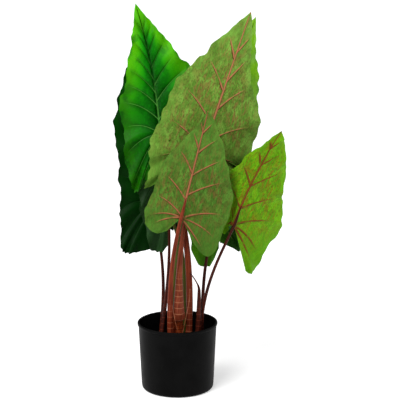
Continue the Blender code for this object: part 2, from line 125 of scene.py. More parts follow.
RIGHT_EDGE = (
    (0.0285, -0.0165, 0.234), (0.0269, -0.02, 0.2109), (0.023, -0.0235, 0.1878),
    (0.0183, -0.0245, 0.1646), (0.0127, -0.0245, 0.139), (0.0093, -0.0245, 0.1273),
)

# The pot, turned about Z.
POT_HEIGHT = 0.154
POT_BASE_RADIUS = 0.081
POT_TOP_RADIUS = 0.0882
POT_WALL = 0.0025
POT_FLOOR = 0.004
POT_CORNER = 0.008
POT_BEAD = 0.0016
RIM_RADIUS = 0.0900
RIM_HEIGHT = 0.006
POT_SIDES = 160

FLOOR_HALF = 40.0

Side = namedtuple("Side", "veins width lobe flare notch slim lift curl tuck hook reach",
                  defaults=(0.0, 0.0, 0.0, 6, 10, 0, 0.0, ()))
Margin = namedtuple("Margin", "waves ruffle scallop phase")
Stalk = namedtuple("Stalk", "foot radii taper lean rise run_in")
Leaf = namedtuple("Leaf", "name stalk_end tip faces left right arch bend margin quilt stalk")

# Side: the rows at which its veins leave the midrib, then the shape values of the solids. hook moves the
# lobe's inner corner on its own. reach is how far out the margin lies, as shares of the plain outline at
# equal steps of the row; where it is given, it takes the place of the scallops.
# quilt: how far the blade swells between two veins, in metres.
LEAVES = (
    Leaf(
        "front", stalk_end=(0.01, -0.058, 0.406), tip=(0.068, -0.1, 0.647), faces=(0.05, 1.0),
        left=Side((0.19, 0.29, 0.45, 0.57, 0.72, 0.84, 0.92),
            width=0.335, lobe=0.2, flare=-0.05, notch=0.08, slim=0.06,
            reach=(0.99, 1.05, 1.01, 0.97, 1.03, 1.03, 0.99, 0.96, 1, 0.98, 0.94, 0.9, 0.91, 0.92,
                   0.97, 1.01, 0.99, 0.96, 0.9, 0.87, 0.81, 0.77, 0.72, 0.81, 0.91)),
        right=Side((0.12, 0.26, 0.43, 0.6, 0.71, 0.82, 0.91),
            width=0.43, lobe=0.31, flare=0.05, notch=0.16, curl=14,
            reach=(0.96, 0.97, 0.97, 0.99, 1, 0.97, 0.95, 0.92, 0.92, 0.9, 0.95, 0.95, 0.98, 0.98,
                   0.96, 0.95, 0.96, 0.92, 0.95, 1, 0.95, 0.97, 0.99, 0.99, 1)),
        arch=8, bend=0.0,
        margin=Margin(waves=5, ruffle=0.005, scallop=0.007, phase=0.1), quilt=0.001,
        stalk=Stalk(foot=(-0.0138, -0.022, SOIL_ROOT), radii=(0.0078, 0.0038), taper=1.2,
                    lean=(-0.004, 0.0), rise=0.45, run_in=0.36),
    ),
    Leaf(
        "right", stalk_end=(0.124, -0.03, 0.384), tip=(0.226, -0.052, 0.596), faces=(-0.45, 0.88),
        left=Side((0.2, 0.42, 0.575, 0.713, 0.826, 0.92), width=0.35, lobe=0.16, lift=4, curl=4, tuck=100,
            reach=(*[1] * 15, 0.97, 0.94, 0.91, 0.9, 0.87, 0.9,
                   0.91, 0.74, 0.83, 0.91)),
        right=Side((0.15, 0.26, 0.44, 0.575, 0.715, 0.831, 0.92),
            width=0.52, lobe=0.44, flare=0.3, notch=0.05, curl=12,
            reach=(1.17, 1.09, 1.01, 0.93, 0.97, 1.08, 1.09, 1.02, 1.06, 1.18, 1.17, 1.07, 1.06,
                   1.04, 0.97, 0.94, 0.98, 1.05, 1.01, 0.97, 1.01, 1.04, 1.03, 1.02, 1.01)),
        arch=8, bend=-0.02,
        margin=Margin(waves=6, ruffle=0.006, scallop=0.016, phase=0.5), quilt=0.0011,
        stalk=Stalk(foot=(0.05, 0.007, SOIL_ROOT), radii=(0.0042, 0.003), taper=1.2,
                    lean=(0.0, 0.0), rise=0.4, run_in=0.4),
    ),
    Leaf(
        "centre", stalk_end=(0.051, -0.022, 0.527), tip=(0.158, -0.058, 0.851), faces=(-0.15, 0.98),
        left=Side((0.12, 0.31, 0.487, 0.613, 0.748, 0.86),
            width=0.34, lobe=0.29, flare=0.16, notch=0.33, slim=0.03,
            reach=(1, 1, 1, 1, 0.97, 0.94, 0.9, 0.92, 0.97, 0.97, 0.99, 0.96, 0.98, 0.98, 1.05, 1.1,
                   1.03, 1.04, 1, 1.04, 0.93, 0.94, 0.99, 0.89, 0.93)),
        right=Side((0.2, 0.38, 0.535, 0.681, 0.784, 0.88), width=0.325, lobe=0.02, slim=0.3,
            reach=(*[1] * 8, 0.95, 0.9, 0.9, 0.98, 1.02, 1.05, 1.04, 1.01, 0.96, 0.94,
                   0.95, 0.96, 0.89, 0.85, 0.9, 0.93, 0.97)),
        arch=6, bend=0.0,
        margin=Margin(waves=7, ruffle=0.007, scallop=0.015, phase=0.3), quilt=0.0012,
        stalk=Stalk(foot=(0.003, -0.016, 0.1635), radii=(0.015, 0.0042), taper=4.0,
                    lean=(0.0, -0.02), rise=0.4, run_in=0.38),
    ),
    Leaf(
        "behind_centre", stalk_end=(0.066, 0.017, 0.542), tip=(0.1735, 0.062, 0.831), faces=(0.15, -0.98),
        left=Side((0.15, 0.32, 0.49, 0.6, 0.7, 0.79, 0.88), width=0.28, lobe=0.1),
        right=Side((0.12, 0.3, 0.47, 0.58, 0.68, 0.77, 0.86), width=0.28, lobe=0.15, lift=-4, curl=-6,
            reach=(*[1] * 14, 1.01, 1.01, 1.02, 0.97, 0.96, 0.91,
                   0.83, 0.78, 0.87, 0.86, 0.91)),
        arch=6, bend=0.0,
        margin=Margin(waves=7, ruffle=0.007, scallop=0.022, phase=0.7), quilt=0.0014,
        stalk=Stalk(foot=(-0.012, 0.018, SOIL_ROOT), radii=(0.0065, 0.0034), taper=1.4,
                    lean=(0.0, 0.0), rise=0.45, run_in=0.38),
    ),
    Leaf(
        "tall", stalk_end=(-0.038, 0.046, 0.573), tip=(-0.092, 0.088, 0.859), faces=(-0.05, -0.99),
        left=Side((0.1, 0.22, 0.33, 0.43, 0.527, 0.6, 0.66, 0.72, 0.78, 0.84, 0.9),
            width=0.265, lobe=0.42, flare=0.35, slim=0.28, lift=2, curl=6,
            reach=(0.89, 0.84, 0.91, 0.93, 1.03, 1.12, 1.17, 1.18, 1.16, 1.04, 1.03, 1.07, 1.12,
                   1.13, 1.02, 1.03, 1.11, 1.14, 1.06, 1.13, 1, 0.9, 0.96, 0.97, 0.99)),
        right=Side((0.08, 0.2, 0.32, 0.44, 0.53, 0.622, 0.693, 0.764, 0.821, 0.866, 0.909),
            width=0.34, lobe=0.3, slim=0.1, lift=2, curl=6,
            reach=(*[1] * 13, 1.04, 1.07, 1.11, 1.01, 1.01, 1.01, 0.96,
                   0.91, 0.87, 0.82, 0.82, 0.88)),
        arch=6, bend=0.03,
        margin=Margin(waves=8, ruffle=0.006, scallop=0.013, phase=0.2), quilt=0.003,
        stalk=Stalk(foot=(0.0222, -0.014, SOIL_ROOT), radii=(0.0082, 0.0042), taper=1.0,
                    lean=(0.022, 0.05), rise=0.62, run_in=0.26),
    ),
    Leaf(
        "far_left", stalk_end=(-0.055, 0.105, 0.402), tip=(-0.102, 0.152, 0.7315), faces=(0.1, -0.99),
        left=Side((0.12, 0.25, 0.38, 0.5, 0.6, 0.69, 0.78, 0.87),
            width=0.235, lobe=0.3, flare=0.3, hook=-0.42, slim=-0.3,
            reach=(1.17, 1.11, 1.03, 1.01, 1.07, 1.17, 1.24, 1.13, 1.07, 1.04, 0.96, 0.91, 0.97,
                   0.91, 0.94, 0.99, 1, 1.04, 0.94, 1.05, 1, 1.1, 1.19, 1.13, 1.06)),
        right=Side((0.14, 0.27, 0.4, 0.52, 0.62, 0.71, 0.8, 0.89), width=0.2, lobe=0.2),
        arch=6, bend=0.0,
        margin=Margin(waves=9, ruffle=0.005, scallop=0.01, phase=0.2), quilt=0.0022,
        stalk=Stalk(foot=(-0.0445, 0.03, SOIL_ROOT), radii=(0.0052, 0.0029), taper=2.0,
                    lean=(0.024, 0.05), rise=0.5, run_in=0.3),
    ),
    Leaf(
        "low_back", stalk_end=(-0.024, 0.088, 0.4095), tip=(-0.056, 0.124, 0.6265), faces=(0.0, -1.0),
        left=Side((0.12, 0.26, 0.4, 0.54, 0.66, 0.77, 0.88), width=0.28, lobe=0.51, hook=-0.15),
        right=Side((0.14, 0.28, 0.42, 0.55, 0.68, 0.79, 0.9), width=0.2, lobe=0.42, hook=0.2),
        arch=6, bend=0.0,
        margin=Margin(waves=6, ruffle=0.006, scallop=0.012, phase=0.8), quilt=0.002,
        stalk=Stalk(foot=(0.0165, 0.025, SOIL_ROOT), radii=(0.0065, 0.0032), taper=1.4,
                    lean=(0.01, 0.07), rise=0.8, run_in=0.22),
    ),
    Leaf(
        "middle_left", stalk_end=(-0.026, 0.082, 0.5), tip=(-0.038, 0.118, 0.715), faces=(0.0, -1.0),
        left=Side((0.12, 0.26, 0.4, 0.54, 0.66, 0.77, 0.88), width=0.34, lobe=0.42, flare=0.15),
        right=Side((0.14, 0.28, 0.42, 0.55, 0.68, 0.79, 0.9), width=0.27, lobe=0.24),
        arch=6, bend=0.0,
        margin=Margin(waves=6, ruffle=0.005, scallop=0.01, phase=0.4), quilt=0.002,
        stalk=Stalk(foot=(-0.0455, -0.002, SOIL_ROOT), radii=(0.0052, 0.0027), taper=2.0,
                    lean=(0.034, 0.05), rise=0.45, run_in=0.4),
    ),
    Leaf(
        "back_right", stalk_end=(0.094, 0.06, 0.37), tip=(0.1365, 0.085, 0.61), faces=(-0.1, 1.0),
        left=Side((0.1, 0.22, 0.34, 0.47, 0.6, 0.72, 0.84),
            width=0.245, lobe=0.435, flare=-0.52, hook=0.02, notch=0.31),
        right=Side((0.12, 0.26, 0.4, 0.53, 0.66, 0.78, 0.89),
            width=0.27, lobe=0.232, flare=0.23, hook=-0.42, notch=0.05),
        arch=6, bend=0.0,
        margin=Margin(waves=6, ruffle=0.006, scallop=0.012, phase=0.9), quilt=0.0015,
        stalk=Stalk(foot=(0.0555, 0.025, SOIL_ROOT), radii=(0.0042, 0.0026), taper=1.2,
                    lean=(-0.004, 0.0), rise=0.95, run_in=0.15),
    ),
)


# Undersides: green, brown, light patches, ribs, the painted shadow along the ribs' sides, and a dark tint for
# specks and painted shade, as linear red, green and blue; then how mottled, how bright the margin, where the
# painted light of the tip starts and how much painted shade darkens the right half.
UNDERSIDES = {
    "olive": (
        ((0.04, 0.115, 0.01), (0.125, 0.078, 0.018), (0.08, 0.205, 0.022),
         (0.29, 0.1, 0.045), (0.06, 0.018, 0.005), (0.04, 0.024, 0.006)), 0.85, 0.3, 0.07),
    "pale olive": (
        ((0.08, 0.195, 0.018), (0.185, 0.13, 0.03), (0.165, 0.345, 0.045),
         (0.36, 0.13, 0.06), (0.06, 0.018, 0.005), (0.06, 0.04, 0.01)), 0.85, 0.4, 0.19),
    "yellow green": (
        ((0.075, 0.24, 0.002), (0.18, 0.11, 0.004), (0.13, 0.38, 0.003),
         (0.16, 0.03, 0.008), (0.07, 0.035, 0.004), (0.045, 0.05, 0.002)), 0.85, 0.45),
    "mid green": (
        ((0.045, 0.125, 0.012), (0.07, 0.06, 0.015), (0.07, 0.2, 0.015),
         (0.12, 0.08, 0.03), (0.03, 0.03, 0.005), (0.02, 0.03, 0.005)), 0.4),
    # Painted shade: a darker copy for the leaves that stand in shade.
    "shaded green": (
        ((0.01, 0.042, 0.003), (0.018, 0.02, 0.004), (0.05, 0.14, 0.006),
         (0.05, 0.03, 0.012), (0.01, 0.01, 0.002), (0.006, 0.01, 0.002)), 0.4),
    # Painted light: a lighter copy for the lit left lobe of the back leaf, with painted shade on its right half.
    "bright green": (
        ((0.03, 0.125, 0.002), (0.018, 0.08, 0.002), (0.085, 0.3, 0.002),
         (0.05, 0.1, 0.006), (0.02, 0.04, 0.002), (0.004, 0.03, 0.001)), 0.5, 0.9, 0.13, 0.85),
}
# Upper faces: their deep, bright, edge and vein tints, then roughness and shine.
UPPERSIDES = {
    "glossy green": (
        ((0.0002, 0.024, 0.0002), (0.003, 0.25, 0.0004), (0.075, 0.39, 0.0006), (0.1, 0.36, 0.05)), 0.36, 0.05),
    "bright green": (
        ((0.02, 0.14, 0.002), (0.08, 0.26, 0.002), (0.17, 0.4, 0.008), (0.22, 0.42, 0.04)),),
    # Painted shade: a darker copy for leaves that stand in shade.
    "shaded green": (
        ((0.0006, 0.01, 0.0006), (0.0018, 0.038, 0.0012), (0.002, 0.045, 0.001), (0.012, 0.06, 0.01)), 0.4, 0.04),
    # Painted shade: a darker, greyer copy for the leaves lying furthest in shade.
    "shaded grey green": (
        ((0.007, 0.026, 0.005), (0.016, 0.062, 0.013), (0.018, 0.08, 0.016), (0.035, 0.09, 0.03)), 0.42, 0.08),
}
# Stalks: their light, dark and ring tints.
STEMS = {
    "terracotta": ((0.2, 0.034, 0.012), (0.08, 0.01, 0.0035), (0.32, 0.12, 0.06)),
    "tan": ((0.215, 0.045, 0.019), (0.095, 0.016, 0.006), (0.36, 0.15, 0.075)),
    "green brown": ((0.045, 0.085, 0.008), (0.05, 0.03, 0.006), (0.12, 0.07, 0.03)),
    "maroon": ((0.065, 0.011, 0.005), (0.018, 0.003, 0.002), (0.15, 0.028, 0.014)),
}
EDGE_TINTS = ((0.38, 0.13, 0.07), (0.2, 0.05, 0.02), (0.4, 0.2, 0.1))
# Each leaf's upper face, underside, blade slot and stalk.
FINISHES = {
    "front": ("glossy green", "olive", "leaf_underside", "terracotta"),
    "right": ("glossy green", "yellow green", "leaf_underside_yellow", "maroon"),
    "centre": ("glossy green", "pale olive", "leaf_underside", "tan"),
    "behind_centre": ("bright green", "mid green", "leaf_upper", "green brown"),
    "tall": ("glossy green", "mid green", "leaf_upper", "terracotta"),
    "far_left": ("shaded green", "shaded green", "leaf_upper_shaded", "maroon"),
    "low_back": ("shaded grey green", "shaded green", "leaf_upper_shaded", "green brown"),
    "middle_left": ("shaded grey green", "shaded green", "leaf_upper_shaded", "maroon"),
    "back_right": ("shaded green", "bright green", "leaf_underside", "maroon"),
}


def smoothstep(value):
    """0 up to 0, 1 from 1 on, and the cubic 3v^2 - 2v^3 of the value between."""
    value = np.clip(value, 0.0, 1.0)
    return value * value * (3 - 2 * value)


def unit(vector):
    """The vectors, each divided by its length."""
    vector = np.asarray(vector, float)
    return vector / np.linalg.norm(vector, axis=-1, keepdims=True)


def through(points, place):
    """A Catmull-Rom curve through the points, at places from 0 to 1 along their list."""
    points = np.asarray(points, float)
    ends = np.vstack([2 * points[0] - points[1], points, 2 * points[-1] - points[-2]])
    place = np.asarray(place, float) * (len(points) - 1)
    span = np.clip(place.astype(int), 0, len(points) - 2)
    t = (place - span)[..., None]
    a, b, c, d = (ends[span + k] for k in range(4))
    return b + 0.5 * t * (c - a + t * (2 * a - 5 * b + 4 * c - d + t * (3 * (b - c) + d - a)))


def frame_of(leaf):
    """The leaf's length and its own directions: along the midrib, to the right as seen from the front, and
    the way the upper face looks."""
    along = np.subtract(leaf.tip, leaf.stalk_end)
    length = np.linalg.norm(along)
    along = along / length
    faces = np.array((*leaf.faces, 0.0))
    upper = unit(faces - along * (faces @ along))
    right = np.cross(along, upper)
    return length, along, right * (1 if right[0] > 0 else -1), upper


def wander(x, y, size, seed):
    """Gentle irregular swelling from -1 to 1: three crossed sines, size metres from crest to crest."""
    turn = 2 * np.pi / size
    total = np.sin(turn * (0.91 * x + 0.42 * y) + 1.7 * seed)
    total = total + np.sin(turn * (-0.55 * x + 0.83 * y) * 1.31 + 2.9 * seed)
    total = total + np.sin(turn * (0.27 * x - 0.96 * y) * 0.77 + 4.1 * seed)
    return total / 3


def flat_half(leaf, sign, row, column):
    """One half of the leaf laid flat, in leaf lengths, and the waves that lift its margin, in metres.

    row runs along the margin from the lobe to the tip and column from the midrib out to it, both 0 to 1.
    A line of constant row is a vein: it leaves the midrib and bends towards the tip on its way out.
    """
    side = leaf.right if sign > 0 else leaf.left
    margin = leaf.margin
    outline = np.array(OUTLINE)
    outline[:2, 0] += side.flare
    outline[0] += (side.hook, side.notch)
    edge = through(outline, row)
    edge_y = np.where(edge[..., 1] < 0, edge[..., 1] * side.lobe, edge[..., 1])
    edge_x = edge[..., 0] * side.width * (1 - side.slim * np.exp(-(((edge_y - 0.70) / 0.22) ** 2)))
    start = LAST_START * np.clip((row - BASAL_ROWS) / (1 - BASAL_ROWS), 0, 1) ** START_POWER

    turn = 2 * np.pi * (margin.waves * row + margin.phase + 0.37 * (sign > 0))
    calm = smoothstep((1 - row) / 0.10) * smoothstep((row + 0.02) / 0.14)
    nibble = margin.scallop * (0.34 * np.sin(2.63 * turn + 1.1) + 0.06 * np.sin(5.3 * turn + sign))
    scallop = 0 if side.reach else margin.scallop * np.cos(turn)
    stretch = 1 + (scallop * column ** 3 + nibble * column ** 8) * calm / side.width
    if side.reach:
        stretch = stretch + (through(np.array(side.reach)[:, None], row)[..., 0] - 1) * column ** 2
    bow = VEIN_BOW * column * (1 - column) * smoothstep(row / 0.25) * (1 - smoothstep((row - 0.45) / 0.55))
    x = edge_x * column * stretch
    y = start + (edge_y - start) * column * stretch + bow
    x, y = np.where(row >= 1, 0.0, x), np.where(row >= 1, 1.0, y)
    wave = margin.ruffle * np.sin(turn + 0.8) * column ** 2 * calm
    return x, y, wave


def bent_half(leaf, sign, row, x, y, wave, offset):
    """The flat half bent into place: lifted and curled about the midrib, which is arched back.

    offset moves the points along the blade's own normal, towards the upper face.
    """
    length, along, right, upper = frame_of(leaf)
    side = leaf.right if sign > 0 else leaf.left
    reach = x / side.width
    middle = smoothstep(reach / 0.18)
    tuck = side.tuck * smoothstep((TUCK_START - row) / (TUCK_START - TUCK_END))
    lift = np.radians(side.lift + tuck) * middle
    curl = np.radians(side.curl) * reach
    depth = x * length * np.sin(lift + curl / 2) + offset * np.cos(lift + curl) + wave
    across = x * length * np.cos(lift + curl / 2) - offset * np.sin(lift + curl)

    arch = np.radians(leaf.arch)
    travel = np.clip(y, -0.5, 1.0)
    chord = arch * (travel - 1) / 2
    swing = arch * (travel - 0.5)
    ahead = y * length * np.cos(chord) + depth * np.sin(swing)
    height = depth * np.cos(swing) - y * length * np.sin(chord)
    slide = leaf.bend * length * 4 * np.clip(y, 0, 1) * (1 - np.clip(y, 0, 1))
    return (
        np.array(leaf.stalk_end)
        + (sign * across + slide)[..., None] * right
        + ahead[..., None] * along
        + height[..., None] * upper
    )


def row_of(start):
    """The row whose vein leaves the midrib at this share of the leaf's length."""
    return BASAL_ROWS + (1 - BASAL_ROWS) * (start / LAST_START) ** (1 / START_POWER)


def blade_rows(leaf):
    """Even rows, and close ones on both sides of every vein."""
    near = [vein + VEIN_ROWS for vein in leaf.left.veins + leaf.right.veins]
    rows = np.unique(np.concatenate([np.linspace(0, 1, EVEN_ROWS + 1), (BASAL_ROWS,), *near]))
    rows = rows[(rows >= 0) & (rows <= 1)]
    kept = [rows[0]]
    for row in rows[1:]:
        if row - kept[-1] > LEAST_ROW or row in (BASAL_ROWS, 1.0):
            kept.append(row)
    return np.array(kept)


def ribs(leaf, sign, row, column, x, y):
    """Where the veins are on a flat half: how near each point is to one (0 to 1) and its height, the
    quilting between the veins (0 to 1), and the band along a vein's side towards the stalk on which the rib's
    shadow is painted (0 to 1).

    The distance to a vein is the difference in rows, times the metres from row to row across the vein.
    """
    length = frame_of(leaf)[0]
    side = leaf.right if sign > 0 else leaf.left
    rows, columns = row[:, 0], column[0]
    x_row, x_column = np.gradient(x * length, rows, columns)
    y_row, y_column = np.gradient(y * length, rows, columns)
    spread = np.abs(x_row * y_column - y_row * x_column) / (np.hypot(x_column, y_column) + 1e-9)

    fade = (1 - column) ** 0.6 * (1 - smoothstep((column - VEIN_END + 0.25) / 0.25))
    width = VEIN_WIDTH * (1 - 0.6 * column)
    near = np.zeros_like(row)
    rise = np.zeros_like(row)
    quilt = np.zeros_like(row)
    rib_shadow = np.zeros_like(row)
    edges = (0.0, *side.veins, 1.0)
    for here, there in zip(edges, edges[1:]):
        share = np.clip((row - here) / (there - here), 0, 1)
        quilt = quilt + np.sin(np.pi * share) ** 0.8 * ((row >= here) & (row < there))
    for vein in side.veins:
        distance = (vein - row) * spread / width
        profile = np.exp(-2 * distance ** 2)
        # The band on each rib's side towards the stalk, where the material paints the rib's shadow.
        rib_shadow = np.maximum(rib_shadow, np.exp(-3 * ((distance - 0.95) / 0.75) ** 2))
        near = np.maximum(near, profile)
        rise = np.maximum(rise, profile * VEIN_HEIGHT * fade)
    quilt = quilt * smoothstep(column / 0.12) * (1 - smoothstep((column - 0.55) / 0.45))

    travel = np.clip(y, 0, 1)
    away = np.hypot(x, np.minimum(y, 0)) * length
    mid_width = MIDRIB_WIDTHS[0] + (MIDRIB_WIDTHS[1] - MIDRIB_WIDTHS[0]) * travel ** 0.7
    mid_height = MIDRIB_HEIGHTS[0] + (MIDRIB_HEIGHTS[1] - MIDRIB_HEIGHTS[0]) * travel ** 0.8
    mid = np.exp(-2 * (away / mid_width) ** 2)
    end = smoothstep((1 - travel) / 0.05)
    rise = np.maximum(rise, mid * mid_height * end)
    return near, mid * end, rise, quilt, rib_shadow


def put_points(mesh, points, triangles):
    """Fills the mesh with these points and triangles."""
    mesh.vertices.add(len(points))
    mesh.vertices.foreach_set("co", np.asarray(points, np.float32).ravel())
    mesh.loops.add(len(triangles) * 3)
    mesh.loops.foreach_set("vertex_index", np.asarray(triangles, np.int32).ravel())
    mesh.polygons.add(len(triangles))
    mesh.polygons.foreach_set("loop_start", np.arange(0, len(triangles) * 3, 3, dtype=np.int32))
    mesh.polygons.foreach_set("loop_total", np.full(len(triangles), 3, np.int32))
    mesh.update(calc_edges=True)


def put_values(mesh, name, values):
    """A number, or three of them, at every point, for the materials to read."""
    values = np.asarray(values, np.float32)
    kind, key = ("FLOAT_VECTOR", "vector") if values.ndim == 2 else ("FLOAT", "value")
    mesh.attributes.new(name, kind, "POINT").data.foreach_set(key, values.ravel())


def add_piece(name, points, triangles, finishes, values=None, finish_of_face=None, sharp=50):
    """An object of these points and triangles that rides on the plant's one body."""
    mesh = bpy.data.meshes.new(name)
    put_points(mesh, points, triangles)
    for key, value in (values or {}).items():
        put_values(mesh, key, value)
    for finish in finishes:
        mesh.materials.append(finish)
    if finish_of_face is not None:
        mesh.polygons.foreach_set("material_index", np.asarray(finish_of_face, np.int32))
    mesh.shade_smooth()
    mesh.set_sharp_from_angle(angle=math.radians(sharp))
    made = bpy.data.objects.new(name, mesh)
    bpy.context.scene.collection.objects.link(made)
    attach(made, "root")
    return made


def squares(numbers):
    """Two triangles for every square of a grid of point numbers, those shrunk to a line left out."""
    a, b, c, d = numbers[:-1, :-1], numbers[:-1, 1:], numbers[1:, 1:], numbers[1:, :-1]
    corners = np.stack([np.stack([a, b, c], -1), np.stack([a, c, d], -1)], -2).reshape(-1, 3)
    p, q, r = corners.T
    lost = (p == q) | (q == r) | (p == r)
    return corners[~lost]


def used_only(triangles):
    """The point numbers that are used, and the triangles numbered among them."""
    kept, renumbered = np.unique(triangles, return_inverse=True)
    return kept, renumbered.reshape(-1, 3)


def leaf_blade(leaf, index, over, under):
    """A closed thin shell: an upper and an under face on one grid of rows and columns, joined at the margin.

    The signed column runs from the left margin over the midrib to the right one. The under face has its
    ribs, the upper one a furrow over each, and both swell between the veins.
    """
    length, along, right, upper = frame_of(leaf)
    rows = blade_rows(leaf)
    share = (np.arange(COLUMNS + 1) / COLUMNS) ** COLUMN_POWER
    row, column = np.meshgrid(rows, share, indexing="ij")
    halves = {}
    for sign in (-1, 1):
        x, y, wave = flat_half(leaf, sign, row, column)
        near, mid, rise, quilt, rib_shadow = ribs(leaf, sign, row, column, x, y)
        drift = SWELL_HEIGHT * wander(x * length, y * length, SWELL_SIZE, index + sign)
        drift = drift * smoothstep(column / 0.2)
        swell = leaf.quilt * quilt + drift
        thick = (MID_THICKNESS + (EDGE_THICKNESS - MID_THICKNESS) * smoothstep(column / 0.9)) / 2
        furrow = FURROW_SHARE * np.minimum(rise, FURROW_LIMIT)
        above = bent_half(leaf, sign, row, x, y, wave, swell + thick - furrow)
        below = bent_half(leaf, sign, row, x, y, wave, swell - thick - rise)
        flat = np.stack([sign * x * length, y * length, 0 * x], -1)
        halves[sign] = [above, below, flat, near, mid, column, quilt, rib_shadow]

    def whole(item):
        """Both halves side by side, with the midrib's points between them."""
        left, other = halves[-1][item], halves[1][item]
        middle = (left[:, :1] + other[:, :1]) / 2
        return np.concatenate([left[:, :0:-1], middle, other[:, 1:]], axis=1)

    above, below, flat, near, mid, out, quilt, rib_shadow = (whole(item) for item in range(8))
    count, wide = out.shape
    numbers = np.arange(2 * count * wide).reshape(2, count, wide)
    basal = int((rows <= BASAL_ROWS).sum())
    numbers[:, :basal, COLUMNS] = numbers[:, :1, COLUMNS]
    numbers[:, -1, :] = numbers[:, -1, COLUMNS:COLUMNS + 1]

    top, bottom = squares(numbers[0]), squares(numbers[1])[:, ::-1]
    loop = np.concatenate([
        [(0, k) for k in range(COLUMNS, 0, -1)],
        [(i, 0) for i in range(count)],
        [(i, wide - 1) for i in range(count - 2, 0, -1)],
        [(0, k) for k in range(wide - 1, COLUMNS - 1, -1)],
    ])
    rim = squares(np.stack([numbers[f][loop[:, 0], loop[:, 1]] for f in (0, 1)]))
    triangles = np.concatenate([top, bottom, rim])
    if np.cross(right, along) @ upper < 0:
        triangles = triangles[:, ::-1]
    face_of = np.concatenate([np.zeros(len(top)), np.ones(len(bottom)), np.zeros(len(rim))])

    kept, triangles = used_only(triangles)
    points = np.concatenate([above.reshape(-1, 3), below.reshape(-1, 3)])[kept]
    values = {"flat": np.tile(flat.reshape(-1, 3), (2, 1))[kept]}
    for key, value in (("near", near), ("mid", mid), ("out", out), ("quilt", quilt), ("rib_shadow", rib_shadow)):
        values[key] = np.tile(value.ravel(), 2)[kept]
    made = add_piece("leaf_" + leaf.name, points, triangles, (over, under), values, face_of)
    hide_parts("blade_" + leaf.name)


def stalk_line(leaf, count):
    """The stalk's middle line and radii: a cubic Bezier curve to the blade, then the midrib's own line, into
    which it sinks."""
    length, along, _, upper = frame_of(leaf)
    shape = leaf.stalk
    low, top = shape.radii
    seat = MID_THICKNESS / 2 + MIDRIB_SEAT + top + SEAT_GAP
    end = np.array(leaf.stalk_end) - upper * seat + along * STALK_SEAT
    foot = np.array(shape.foot)
    reach = np.linalg.norm(end - foot)
    first = foot + np.array((*shape.lean, shape.rise * reach))
    second = end - along * shape.run_in * reach
    t = np.linspace(0, 1, count)[:, None]
    line = (1 - t) ** 3 * foot + 3 * t * (1 - t) ** 2 * first + 3 * t * t * (1 - t) * second + t ** 3 * end
    radii = top + (low - top) * (1 - t[:, 0]) ** shape.taper

    sunk = np.linspace(0, 1, RUN_OUT_STEPS)[1:]
    start = (STALK_SEAT + sunk * RUN_OUT) / length
    offset = -seat * (1 - smoothstep(sunk)) - SUNK_DEPTH * smoothstep(sunk)
    zero = np.zeros_like(start)
    x, y, wave = flat_half(leaf, 1, row_of(start), zero)
    on = bent_half(leaf, 1, row_of(start), x, y, wave, offset)
    thin = top + (SUNK_RADIUS - top) * smoothstep(sunk)
    return np.vstack([line, on]), np.concatenate([radii, thin])


def travelled_along(line):
    """The way along a line to each of its points: the sum of the steps before it."""
    return np.concatenate([[0], np.cumsum(np.linalg.norm(np.diff(line, axis=0), axis=1))])


def rounded_end(line, radii, steps=5):
    """The same bar with rings added at its last end, which is rounded off."""
    bend = np.radians(np.linspace(0, 84, steps))
    back = radii[-1] * (1 - np.sin(bend))[:, None] * unit(line[-1] - line[-2])
    return np.vstack([line[:-1], line[-1] - back]), np.concatenate([radii[:-1], radii[-1] * np.cos(bend)])


def bar(line, radii, sides, relief=None):
    """A round closed bar along a line: its points, its triangles, and each point's place across and along it.

    relief, on (ring, side), is added to the radius.
    """
    tangents = unit(np.gradient(line, axis=0))
    across = unit(np.cross(tangents, (0.0, 1.0, 0.0)))
    other = np.cross(tangents, across)
    angle = np.arange(sides) * 2 * np.pi / sides
    ring = np.cos(angle)[None, :, None] * across[:, None] + np.sin(angle)[None, :, None] * other[:, None]
    radius = np.repeat(np.asarray(radii)[:, None], sides, 1) + (0 if relief is None else relief)
    points = (line[:, None] + ring * radius[..., None]).reshape(-1, 3)
    travelled = travelled_along(line)
    grain = np.stack([
        radius * np.cos(angle), radius * np.sin(angle), np.repeat(travelled[:, None], sides, 1),
    ], -1).reshape(-1, 3)
    points = np.vstack([points, line[0], line[-1]])
    grain = np.vstack([grain, (0, 0, 0), (0, 0, travelled[-1])])
    count = len(line)
    numbers = np.arange(count * sides).reshape(count, sides)
    numbers = np.concatenate([numbers, numbers[:, :1]], 1)
    first, last = count * sides, count * sides + 1
    caps = np.concatenate([
        np.stack([np.full(sides, first), numbers[0, 1:], numbers[0, :-1]], -1),
        np.stack([np.full(sides, last), numbers[-1, :-1], numbers[-1, 1:]], -1),
    ])
    return points, np.concatenate([squares(numbers), caps]), grain


def stalk(leaf, index, finish):
    """A stalk with long shallow flutes, and faint rings near its foot."""
    line, radii = rounded_end(*stalk_line(leaf, STALK_STEPS))
    if leaf.stalk.foot[2] > SOIL_TOP:
        line, radii = (part[::-1] for part in rounded_end(line[::-1], radii[::-1]))
    travelled = travelled_along(line)
    angle = np.arange(STALK_SIDES) * 2 * np.pi / STALK_SIDES
    flutes = 0.010 * np.sin(9 * angle + index) + 0.008 * np.sin(5 * angle + 2.3 * index)
    low = 1 - smoothstep((travelled - 0.06) / 0.10)
    rings = 0.018 * low * np.cos(2 * np.pi * travelled / RING_SPACING + index) ** 8
    relief = radii[:, None] * (flutes[None, :] + rings[:, None])
    points, triangles, grain = bar(line, radii, STALK_SIDES, relief)
    made = add_piece("petiole_" + leaf.name, points, triangles, (finish,), {"grain": grain})
    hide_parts("stalk_" + leaf.name)


